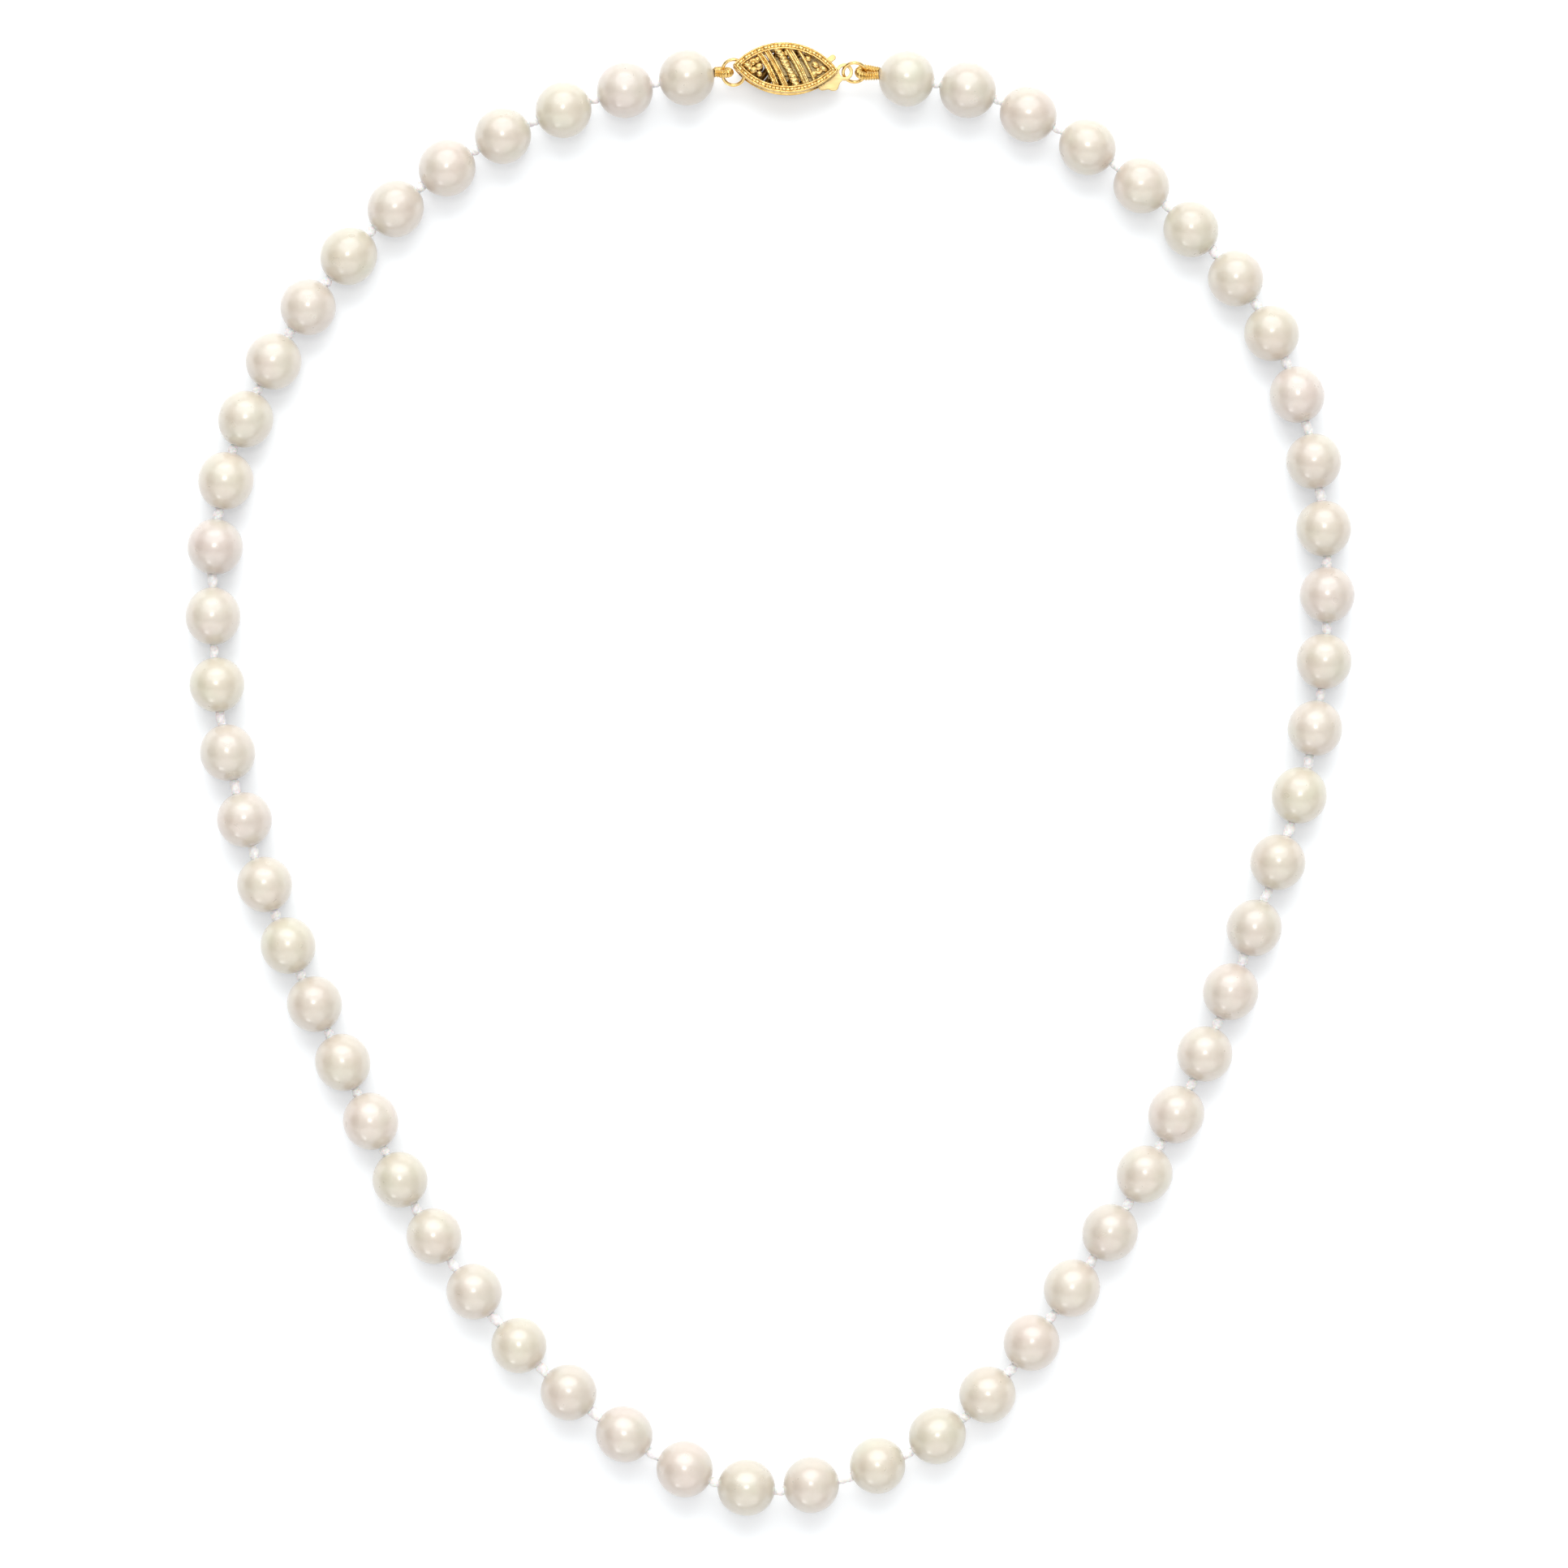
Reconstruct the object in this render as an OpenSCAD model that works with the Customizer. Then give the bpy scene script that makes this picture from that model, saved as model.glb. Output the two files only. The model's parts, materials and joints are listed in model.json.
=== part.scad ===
// Knotted strand of round pearls, closed by a filigree fish-hook clasp.
// The necklace lies flat as a closed loop. +X is right, +Y runs to the clasp,
// +Z is up, and the origin is on the table under the middle of the loop.

/* [Strand] */
// Diameter of each pearl
pearl_d = 6.5; // [6:0.1:6.6]
// Diameter of the hole drilled through each pearl
hole_d = 0.8; // [0.7:0.1:1]
// Diameter of the doubled silk thread
silk_d = 0.5; // [0.3:0.1:0.5]
// Gap between a knot and the pearls on both sides of it
knot_gap = 0.03; // [0.02:0.01:0.06]

/* [Clasp shell] */
// Length of the shell from tip to tip
shell_l = 12.2; // [12:0.1:12.6]
// Width of the shell across its middle
shell_w = 5.8; // [5.6:0.1:6.2]
// Height of the shell over both lids
shell_h = 3.6; // [3.5:0.1:4]
// Thickness of each lid
lid_t = 0.8; // [0.7:0.1:0.8]
// Width of the border round each lid
border_w = 0.8; // [0.7:0.1:0.9]
// Diameter of each milgrain bead
bead_d = 0.4; // [0.3:0.05:0.4]

/* [Hook and rings] */
// Thickness of the hook's plate
hook_t = 0.3; // [0.2:0.05:0.3]
// Diameter of the hole in the hook's eye
eye_hole_d = 1.2; // [1.2:0.05:1.3]
// Wire diameter of the jump rings
ring_wire_d = 0.4; // [0.3:0.05:0.4]
// Outer diameter of the coiled gimp wire
gimp_d = 0.9; // [0.7:0.05:0.9]

/* [Hidden] */
$fn = 48;

// Middle pearl of every three along the strand, from the clasp's left end,
// round the front, to its right end. The first and last points only aim the ends.
route = [
    [4.5, 82.5],
    [-17, 79.5], [-37.5, 70.5], [-53.5, 54.5], [-63, 34.5], [-64, 11],
    [-58.5, -12], [-49.5, -32.5], [-39, -52.5], [-23.5, -70.5], [-3, -81.5],
    [19, -75.5], [34.5, -58.5], [46.5, -38.5], [55.5, -17], [62.5, 6],
    [63.5, 29], [57.5, 51.5], [42.5, 68.5], [22.5, 79.5],
    [1, 81.5]
];
pearls_per_point = 3;
pearl_count = 57;
groups_per_side = 9;
// Pearls on the front group, which the two sides hang from
front_first = 28;
front_last = 31;

// Middle of the clasp's shell, and the line that the rings and the clasp roll about
shell_x = 1.5;
shell_y = 82;
shell_turn = -3;
ring_y = 81.6;
clasp_z = 2.8;

pearl_r = pearl_d / 2;
xs = [for (i = [1:pearl_count]) spot(i).x];
ys = [for (i = [1:pearl_count]) spot(i).y];
middle_x = (min(xs) + max(xs)) / 2;
middle_y = (min(ys) - pearl_r + shell_y + shell_w / 2) / 2;

// How far the thread runs into a knot, and how far it stops inside an open hole
thread_in_knot = 0.25;
thread_recess = 0.5;

// The lids' outline is two equal arcs
arc_r = (pow(shell_l / 2, 2) + pow(shell_w / 2, 2)) / shell_w;
arc_offset = arc_r - shell_w / 2;
lid_inner_z = shell_h / 2 - lid_t;
rim_w = 0.15;
rim_h = 0.2;
lid_floor_t = lid_t - rim_h;
bead_step = 6.3;
bar_slant = -59;
bar_t = 0.35;
bar_z = lid_inner_z + 0.15;
// Each plain bar of a lid: where it crosses the long axis, and its width
bars = [[-2.1, 0.4], [-1.2, 0.4], [1.4, 0.4], [2.2, 0.3], [2.9, 0.3]];
twist_x = 0.2;
twist_d = 0.62;
twist_low_r = 0.2;
twist_l = 4;
twist_step = 0.4;
scroll_x = [-3.8, -3.1, 3.8];
scroll_r = 0.3;
scroll_wire_d = 0.28;

wall_inset = 0.3;
wall_t = 0.3;
wall_from_x = -4.3;
wall_to_x = 1.5;

ring_pin = [-5.3, -0.35];
ring_pin_d = 0.6;
catch_x = 3.4;
catch_d = 0.5;
catch_l = 3.6;

// Left ring: an oval seen from above, tipped a little about the roll line
left_ring_x = -4.5;
left_ring_r = 1.25;
left_ring_straight = 0.5;
left_ring_tip = 20;
// Right ring: round, tipped enough to pass through the hook's eye
right_ring_x = 9.45;
right_ring_r = 1.3;
right_ring_tip = 40;
gimp_bend_r = 0.85;
gimp_pearl_gap = 0.05;

eye_x = 6.8;
eye_y = 0;
eye_d = 2;
tongue_t = 0.2;
tongue_gap = 0.35;
tongue_pivot_x = -1.2;

SIDES = ["left", "right"];

// ---- Points along the strand ----

function unit(v) = v / norm(v);

// Smooth curve through b and c, at t from 0 to 1
function curve(a, b, c, d, t) =
    b + (c - a) * t / 2
    + (2 * a - 5 * b + 4 * c - d) * pow(t, 2) / 2
    + (3 * b - a - 3 * c + d) * pow(t, 3) / 2;

// Route point n, carried on in a straight line past both ends
function route_point(n) =
    n < 0 ? 2 * route[0] - route[1]
    : n >= len(route) ? 2 * route[len(route) - 1] - route[len(route) - 2]
    : route[n];

// Plan position of pearl i, counted from 1 at the clasp's left end
function spot(i) =
    let (whole = 1 + floor((i - 2) / pearls_per_point),
         part = 1 + (i - 2) / pearls_per_point - whole)
    curve(route_point(whole - 1), route_point(whole), route_point(whole + 1),
          route_point(whole + 2), part);

// Centre of pearl i, and the direction of its hole towards the next pearl
function centre(i) = [spot(i).x - middle_x, spot(i).y - middle_y, pearl_r];
function aim(i) = unit(centre(min(i + 1, pearl_count)) - centre(max(i - 1, 1)));

// Knot i lies between pearls i and i + 1, midway between the mouths of their holes
function knot(i) = (centre(i) + aim(i) * pearl_r + centre(i + 1) - aim(i + 1) * pearl_r) / 2;
function knot_r(i) =
    min(norm(knot(i) - centre(i)), norm(knot(i) - centre(i + 1))) - pearl_r - knot_gap;

// First and last pearl of group k on each side
function left_first(k) = front_first - 3 * k;
function left_last(k) = left_first(k) + 2;
function right_first(k) = front_last + 3 * k - 2;
function right_last(k) = min(right_first(k) + 2, pearl_count);

// ---- Strand ----

// Turns its children so that their +Z points along v
module along(v) {
    rotate([0, acos(v.z / norm(v)), atan2(v.y, v.x)]) children();
}

module rod(from, to, d) {
    translate(from)
        along(to - from)
            cylinder(h = norm(to - from), d = d);
}

module pearls(first, last) {
    color("linen")
        for (i = [first:last])
            difference() {
                translate(centre(i)) sphere(r = pearl_r);
                rod(centre(i) - aim(i) * pearl_d, centre(i) + aim(i) * pearl_d, hole_d);
            }
}

// Thread through pearls first to last, with the knots that belong to the same group
module silk(first, last, first_knot, last_knot) {
    color("white")
        union() {
            for (i = [first:last]) {
                before = i - 1 >= first_knot ? thread_in_knot : -thread_recess;
                after = i <= last_knot ? thread_in_knot : -thread_recess;
                rod(centre(i) - aim(i) * (pearl_r + before),
                    centre(i) + aim(i) * (pearl_r + after), silk_d);
            }
            for (i = [first_knot:last_knot])
                translate(knot(i)) along(aim(i) + aim(i + 1)) sphere(r = knot_r(i));
        }
}

// ---- Gimp: coiled wire round the thread, looped through a jump ring ----

// A loop round the ring's wire at x on the roll line, with two legs that run to the
// pearl on that side: side is -1 for -X. tip turns the loop about the roll line.
module gimp(x, pearl, side, tip) {
    leg_l = abs(centre(pearl).x - in_clasp(x).x) - pearl_r - gimp_pearl_gap;
    color("goldenrod")
        translate(in_clasp(x))
            rotate([tip + 90, 0, 0])
                union() {
                    rotate([0, 0, side < 0 ? -90 : 90])
                        rotate_extrude(angle = 180)
                            translate([gimp_bend_r, 0]) circle(d = gimp_d);
                    for (leg = [-1, 1])
                        translate([0, leg * gimp_bend_r, 0])
                            rotate([0, side * 90, 0]) cylinder(h = leg_l, d = gimp_d);
                }
}

module gimp_left() {
    gimp(left_ring_x - left_ring_r - shell_x, 1, -1, left_ring_tip);
}

module gimp_right() {
    gimp(right_ring_x + right_ring_r - shell_x, pearl_count, 1, right_ring_tip);
}

// ---- Jump rings ----

// Point on the roll line, x from the middle of the shell
function in_clasp(x) = [shell_x + x - middle_x, ring_y - middle_y, clasp_z];

module jump_ring(x, r, straight, tip) {
    color("gold")
        translate(in_clasp(x - shell_x))
            rotate([tip, 0, 0])
                for (end = [0, 180])
                    rotate([0, 0, end]) {
                        translate([0, straight / 2, 0])
                            rotate_extrude(angle = 180)
                                translate([r, 0]) circle(d = ring_wire_d);
                        translate([r, 0, 0])
                            rotate([90, 0, 0])
                                cylinder(h = straight, d = ring_wire_d, center = true);
                    }
}

module jump_ring_left() {
    jump_ring(left_ring_x, left_ring_r, left_ring_straight, left_ring_tip);
}

module jump_ring_right() {
    color("gold")
        translate(in_clasp(right_ring_x - shell_x))
            rotate([right_ring_tip, 0, 0])
                rotate_extrude()
                    translate([right_ring_r, 0]) circle(d = ring_wire_d);
}

// ---- Clasp shell ----

// Children are drawn round the middle of the shell
module at_shell() {
    translate([shell_x - middle_x, shell_y - middle_y, clasp_z])
        rotate([0, 0, shell_turn]) children();
}

// The lid's outline, drawn in by inset all round
module outline(inset = 0) {
    intersection() {
        translate([0, arc_offset]) circle(r = arc_r - inset, $fn = 180);
        translate([0, -arc_offset]) circle(r = arc_r - inset, $fn = 180);
    }
}

module band(from_inset, to_inset, z, h) {
    translate([0, 0, z])
        linear_extrude(h)
            difference() {
                outline(from_inset);
                outline(to_inset);
            }
}

// Border of the upper lid: a flat band between two raised rims
module border() {
    band(0, border_w, lid_inner_z, lid_floor_t);
    band(0, rim_w, lid_inner_z + lid_floor_t, rim_h);
    band(border_w - rim_w, border_w, lid_inner_z + lid_floor_t, rim_h);
}

// Half-round beads in the channel between the rims
module milgrain() {
    path_r = arc_r - border_w / 2;
    reach = acos(arc_offset / path_r) - bead_step / 2;
    steps = floor(reach / bead_step);
    intersection() {
        for (side = [-1, 1], n = [-steps:steps])
            rotate([0, 0, side * 90])
                translate([-arc_offset, 0, lid_inner_z + lid_floor_t])
                    rotate([0, 0, n * bead_step])
                        translate([path_r, 0, 0]) sphere(d = bead_d, $fn = 24);
        translate([0, 0, lid_inner_z + lid_floor_t]) linear_extrude(1) outline();
    }
}

// Everything of its children that lies inside the window of a lid
module in_window() {
    intersection() {
        children();
        translate([0, 0, lid_inner_z]) linear_extrude(2) outline(border_w);
    }
}

module slanted(x) {
    translate([x, 0, 0]) rotate([0, 0, bar_slant]) children();
}

module window_bars() {
    in_window()
        for (bar = bars)
            slanted(bar[0])
                translate([-shell_w, -bar[1] / 2, bar_z])
                    cube([2 * shell_w, bar[1], bar_t]);
}

module clasp_top_border() {
    color("gold") at_shell() border();
}

module clasp_top_bars() {
    color("gold") at_shell() window_bars();
}

// Corrugated wire across the middle of the window
module clasp_top_twist() {
    steps = round(twist_l / twist_step);
    crests = [for (n = [0:steps - 1]) each [[twist_low_r, n], [twist_d / 2, n + 0.5]]];
    color("khaki")
        at_shell()
            slanted(twist_x)
                translate([-twist_l / 2, 0, bar_z + bar_t / 2])
                    rotate([0, 90, 0])
                        rotate_extrude()
                            polygon([
                                [0, 0],
                                for (c = crests) [c[0], c[1] * twist_step],
                                [twist_low_r, steps * twist_step],
                                [0, steps * twist_step]
                            ]);
}

module clasp_top_scrolls() {
    color("gold")
        at_shell()
            for (x = scroll_x)
                translate([x, 0, bar_z + scroll_wire_d / 2])
                    rotate_extrude()
                        translate([scroll_r, 0]) circle(d = scroll_wire_d);
}

module clasp_top_milgrain() {
    color("khaki") at_shell() milgrain();
}

module clasp_back_border() {
    color("gold") at_shell() rotate([180, 0, 0]) border();
}

module clasp_back_bars() {
    color("gold") at_shell() rotate([180, 0, 0]) window_bars();
}

module clasp_back_milgrain() {
    color("khaki") at_shell() rotate([180, 0, 0]) milgrain();
}

// Wall between the lids round the closed end of the shell
module clasp_side_wall() {
    color("goldenrod")
        at_shell()
            intersection() {
                band(wall_inset, wall_inset + wall_t, -lid_inner_z, 2 * lid_inner_z);
                translate([wall_from_x, -shell_w / 2, -shell_h / 2])
                    cube([wall_to_x - wall_from_x, shell_w, shell_h]);
            }
}

// Post in the closed tip that the left jump ring hangs on
module clasp_ring_pin() {
    color("goldenrod")
        at_shell()
            translate(ring_pin)
                cylinder(h = 2 * lid_inner_z, d = ring_pin_d, center = true);
}

// Bar across the mouth that the hook catches on, flat where it sits on the back lid
module clasp_catch_bar() {
    color("goldenrod")
        at_shell()
            intersection() {
                translate([catch_x, 0, -lid_inner_z + catch_d / 3])
                    rotate([90, 0, 0]) cylinder(h = catch_l, d = catch_d, center = true);
                translate([catch_x - catch_d, -catch_l / 2, -lid_inner_z])
                    cube([2 * catch_d, catch_l, catch_d]);
            }
}

// ---- Hook ----

// Flat plate: eye, neck, stepped wing, and a shank that ends in a barb,
// with the fold that carries the spring tongue
module clasp_hook() {
    eye = [eye_x, eye_y];
    color("wheat")
        at_shell()
            union() {
                translate([0, 0, -hook_t / 2])
                    linear_extrude(hook_t)
                        difference() {
                            union() {
                                translate(eye) circle(d = eye_d);
                                polygon([[3.5, 0.7], [5.2, 0.7], [5.8, 0.5], [6.4, 0.6],
                                         [6.8, -0.8], [6.3, -1.5], [6.1, -2], [5.8, -2.2],
                                         [5.4, -2.2], [5.1, -2], [4.5, -2.2], [3.9, -2.2],
                                         [3.5, -0.7]]);
                                translate([-2, -1.3]) square([5.6, 2.6]);
                            }
                            translate(eye) circle(d = eye_hole_d);
                        }
                translate([-1.6, -0.5, hook_t / 2])
                    cube([0.35, 1, tongue_gap + tongue_t]);
            }
}

// Spring leaf over the hook, with the thumb tab that lets the clasp go
module clasp_tongue() {
    tab_d = 0.7;
    color("wheat")
        at_shell()
            translate([0, 0, hook_t / 2 + tongue_gap])
                linear_extrude(tongue_t)
                    union() {
                        translate([tongue_pivot_x, -0.9]) square([5.8, 1.8]);
                        translate([4.3, 0.6]) rotate([0, 0, 40]) {
                            translate([0, -tab_d / 2]) square([1.4, tab_d]);
                            translate([1.4, 0]) circle(d = tab_d);
                        }
                    }
}

// ---- Nodes ----

pearls(front_first, front_last);  // pearls_front
silk(front_first, front_last, front_first, front_last - 1);  // silk_front
for (k = [1:groups_per_side]) {
    pearls(left_first(k), left_last(k));
    pearls(right_first(k), right_last(k));
    silk(left_first(k), left_last(k), left_first(k), left_last(k));
    silk(right_first(k), right_last(k), right_first(k) - 1, right_last(k) - 1);
}
gimp_left();
gimp_right();
jump_ring_left();
jump_ring_right();
clasp_top_border();
clasp_top_bars();
clasp_top_twist();
clasp_top_scrolls();
clasp_top_milgrain();
clasp_back_border();
clasp_back_bars();
clasp_back_milgrain();
clasp_side_wall();
clasp_ring_pin();
clasp_catch_bar();
clasp_hook();
clasp_tongue();
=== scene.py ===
import json
import math
import random

import bmesh
import bpy
import numpy as np
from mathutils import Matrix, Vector, noise

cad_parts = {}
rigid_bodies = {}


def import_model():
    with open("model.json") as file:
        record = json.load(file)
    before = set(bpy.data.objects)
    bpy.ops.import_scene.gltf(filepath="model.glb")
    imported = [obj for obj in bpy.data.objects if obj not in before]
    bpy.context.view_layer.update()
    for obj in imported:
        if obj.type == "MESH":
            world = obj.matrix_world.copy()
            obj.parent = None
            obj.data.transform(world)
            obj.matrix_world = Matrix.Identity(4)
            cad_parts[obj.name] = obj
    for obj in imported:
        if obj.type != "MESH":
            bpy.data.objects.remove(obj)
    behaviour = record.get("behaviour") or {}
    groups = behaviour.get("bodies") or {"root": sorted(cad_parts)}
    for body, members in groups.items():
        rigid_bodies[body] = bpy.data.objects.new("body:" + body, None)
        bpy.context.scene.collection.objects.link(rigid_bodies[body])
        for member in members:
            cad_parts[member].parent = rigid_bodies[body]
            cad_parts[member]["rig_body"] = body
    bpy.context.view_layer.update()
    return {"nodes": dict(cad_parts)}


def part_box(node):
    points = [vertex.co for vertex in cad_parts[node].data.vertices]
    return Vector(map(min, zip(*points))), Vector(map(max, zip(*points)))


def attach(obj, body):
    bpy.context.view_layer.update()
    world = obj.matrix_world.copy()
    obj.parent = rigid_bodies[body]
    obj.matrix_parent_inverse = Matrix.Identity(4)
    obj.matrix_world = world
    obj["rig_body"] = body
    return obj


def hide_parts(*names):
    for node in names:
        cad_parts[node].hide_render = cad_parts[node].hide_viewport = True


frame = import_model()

MM = 0.001
dice = random.Random(57)

# ---- Sizes in millimetres, as in the CAD ----

HOLE_R = 0.4
SHELL_L, SHELL_W, SHELL_TURN = 12.2, 5.8, math.radians(-3)
LID_IN = 1.0
ARC_R = ((SHELL_L / 2) ** 2 + (SHELL_W / 2) ** 2) / SHELL_W
ARC_OFF = ARC_R - SHELL_W / 2
SLANT = math.radians(-59)
EYE, EYE_HOLE_R = (6.8, 0.0), 0.6


def middle(node):
    low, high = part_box(node)
    return np.array((low + high) / 2) / MM


shell_c = middle("clasp_top_border")
shell_c[2] = (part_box("clasp_top_border")[1].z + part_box("clasp_back_border")[0].z) / 2 / MM


def at_shell(p):
    """Points round the middle of the shell, moved to the row frame."""
    p = np.atleast_2d(np.array(p, float))
    c, s = math.cos(SHELL_TURN), math.sin(SHELL_TURN)
    return np.c_[p[:, 0] * c - p[:, 1] * s, p[:, 0] * s + p[:, 1] * c, p[:, 2]] + shell_c


# ---- Material helpers ----

def new_material(name):
    mat = bpy.data.materials.new(name)
    mat.use_nodes = True
    tree = mat.node_tree
    return mat, tree, tree.nodes["Principled BSDF"]


def node(tree, kind, **settings):
    made = tree.nodes.new("ShaderNode" + kind)
    for key, value in settings.items():
        if key in made.inputs:
            made.inputs[key].default_value = value
        else:
            setattr(made, key, value)
    return made


def place(tree, stretch=(1, 1, 1)):
    """Coordinates fixed to the piece, in metres."""
    coords = node(tree, "TexCoord")
    scale = node(tree, "Mapping", Scale=stretch)
    tree.links.new(coords.outputs["Object"], scale.inputs["Vector"])
    return scale.outputs["Vector"]


def noisy(tree, where, scale, detail=2.0, rough=0.5):
    made = node(tree, "TexNoise", Scale=scale, Detail=detail, Roughness=rough)
    tree.links.new(where, made.inputs["Vector"])
    return made.outputs["Fac"]


def ramp(tree, value, stops):
    made = node(tree, "ValToRGB")
    made.color_ramp.elements[0].position = stops[0][0]
    made.color_ramp.elements[0].color = (*stops[0][1], 1)
    made.color_ramp.elements[1].position = stops[-1][0]
    made.color_ramp.elements[1].color = (*stops[-1][1], 1)
    for at, colour in stops[1:-1]:
        made.color_ramp.elements.new(at).color = (*colour, 1)
    tree.links.new(value, made.inputs["Fac"])
    return made.outputs["Color"]


def spread(tree, value, low, high):
    made = node(tree, "MapRange")
    made.inputs["To Min"].default_value = low
    made.inputs["To Max"].default_value = high
    tree.links.new(value, made.inputs["Value"])
    return made.outputs["Result"]


def multiply(tree, a, b):
    made = node(tree, "Mix", data_type="RGBA", blend_type="MULTIPLY")
    made.inputs[0].default_value = 1
    tree.links.new(a, made.inputs[6])
    tree.links.new(b, made.inputs[7])
    return made.outputs[2]


def bump(tree, bsdf, *layers):
    """layers: (height socket, distance in metres, strength), stacked on each other."""
    last = None
    for height, distance, strength in layers:
        made = node(tree, "Bump", Distance=distance, Strength=strength)
        tree.links.new(height, made.inputs["Height"])
        if last is not None:
            tree.links.new(last, made.inputs["Normal"])
        last = made.outputs["Normal"]
    tree.links.new(last, bsdf.inputs["Normal"])


def nacre():
    mat, tree, bsdf = new_material("nacre")
    where = place(tree)
    tint = node(tree, "VertexColor", layer_name="tint").outputs["Color"]
    cloud = ramp(tree, noisy(tree, where, 260, 2),
                 [(0.3, (0.95, 0.93, 0.92)), (0.5, (1, 0.99, 0.98)), (0.7, (0.98, 1, 0.96))])
    fine = ramp(tree, noisy(tree, where, 1500, 3), [(0.3, (0.97, 0.965, 0.955)), (0.7, (1, 1, 1))])
    tree.links.new(multiply(tree, multiply(tree, tint, cloud), fine), bsdf.inputs["Base Color"])
    tree.links.new(spread(tree, noisy(tree, where, 700, 2), 0.25, 0.33), bsdf.inputs["Roughness"])
    bump(tree, bsdf, (noisy(tree, where, 900, 2), 0.00004, 0.2),
         (noisy(tree, where, 4000, 3), 0.00001, 0.2))
    bsdf.inputs["IOR"].default_value = 2.15
    bsdf.inputs["Subsurface Weight"].default_value = 0.15
    bsdf.inputs["Subsurface Radius"].default_value = (1.0, 0.8, 0.65)
    bsdf.inputs["Subsurface Scale"].default_value = 0.0008
    bsdf.inputs["Coat Weight"].default_value = 0.5
    bsdf.inputs["Coat Roughness"].default_value = 0.07
    bsdf.inputs["Coat IOR"].default_value = 1.5
    bsdf.inputs["Sheen Weight"].default_value = 0.12
    bsdf.inputs["Sheen Roughness"].default_value = 0.45
    bsdf.inputs["Sheen Tint"].default_value = (1.0, 0.95, 0.95, 1)
    return mat


def silk():
    mat, tree, bsdf = new_material("silk")
    where = place(tree)
    fibre = noisy(tree, where, 3500, 4, 0.65)
    tree.links.new(ramp(tree, fibre, [(0.25, (0.62, 0.60, 0.59)), (0.6, (0.74, 0.715, 0.705))]),
                   bsdf.inputs["Base Color"])
    tree.links.new(spread(tree, noisy(tree, where, 1200), 0.45, 0.65), bsdf.inputs["Roughness"])
    bump(tree, bsdf, (fibre, 0.00003, 0.5))
    bsdf.inputs["Subsurface Weight"].default_value = 0.35
    bsdf.inputs["Subsurface Scale"].default_value = 0.0004
    bsdf.inputs["Sheen Weight"].default_value = 0.35
    bsdf.inputs["Sheen Roughness"].default_value = 0.35
    return mat


def gold(name, dark, light, rough, grain, depth, stretch=(1, 1, 1)):
    mat, tree, bsdf = new_material(name)
    where = place(tree, stretch)
    tree.links.new(ramp(tree, noisy(tree, where, grain, 3), [(0.3, dark), (0.65, light)]),
                   bsdf.inputs["Base Color"])
    tree.links.new(spread(tree, noisy(tree, where, grain * 1.7, 3), *rough), bsdf.inputs["Roughness"])
    bump(tree, bsdf, (noisy(tree, where, grain, 2), depth, 0.5),
         (noisy(tree, where, grain * 5, 3), depth / 5, 0.35))
    bsdf.inputs["Metallic"].default_value = 1
    return mat


NACRE = nacre()
SILK = silk()
CAST = gold("cast_gold", (0.58, 0.36, 0.10), (0.88, 0.63, 0.26), (0.14, 0.32), 1600, 0.0001)
WIRE = gold("wire_gold", (0.68, 0.45, 0.15), (0.90, 0.66, 0.29), (0.1, 0.22), 900, 0.00003)
PALE = gold("pale_gold", (0.60, 0.44, 0.19), (0.70, 0.53, 0.26), (0.32, 0.48), 700, 0.00002, (1, 6, 1))
COIL = gold("coil_gold", (0.62, 0.38, 0.10), (0.86, 0.60, 0.22), (0.14, 0.28), 1500, 0.00004)
def painted_shade_inside(mat):
    """Painted shade: the colour drops within the lids' outline, where the lids shade what lies inside
    the shell.
    """
    tree, bsdf = mat.node_tree, mat.node_tree.nodes["Principled BSDF"]
    colour = bsdf.inputs["Base Color"].links[0].from_socket
    local = node(tree, "Mapping", vector_type="TEXTURE", Location=tuple(shell_c * MM),
                 Rotation=(0, 0, SHELL_TURN))
    tree.links.new(node(tree, "TexCoord").outputs["Object"], local.inputs["Vector"])
    axes = node(tree, "SeparateXYZ")
    tree.links.new(local.outputs["Vector"], axes.inputs["Vector"])
    away = node(tree, "Math", operation="ABSOLUTE")
    tree.links.new(axes.outputs["Y"], away.inputs[0])
    drop = node(tree, "Math", operation="ADD")
    drop.inputs[1].default_value = ARC_OFF * MM
    tree.links.new(away.outputs[0], drop.inputs[0])
    point = node(tree, "CombineXYZ")
    tree.links.new(axes.outputs["X"], point.inputs["X"])
    tree.links.new(drop.outputs[0], point.inputs["Y"])
    length = node(tree, "VectorMath", operation="LENGTH")
    tree.links.new(point.outputs["Vector"], length.inputs[0])
    edge = node(tree, "MapRange")
    fade_from, fade_to, darkest = ARC_R - 0.6, ARC_R - 0.2, 0.5
    edge.inputs["From Min"].default_value = fade_from * MM
    edge.inputs["From Max"].default_value = fade_to * MM
    edge.inputs["To Min"].default_value = darkest
    tree.links.new(length.outputs["Value"], edge.inputs["Value"])
    tree.links.new(multiply(tree, colour, edge.outputs["Result"]), bsdf.inputs["Base Color"])


# Painted shade on the pale hook plate where it lies inside the shell
painted_shade_inside(PALE)
# Painted shade: a dark copy of the gold, standing for the shade inside the shell
SHADED_GOLD = gold("painted_shade_gold", (0.17, 0.09, 0.02), (0.36, 0.22, 0.07), (0.3, 0.5), 1400, 0.00006)

# ---- Mesh helpers, in millimetres ----

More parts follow.
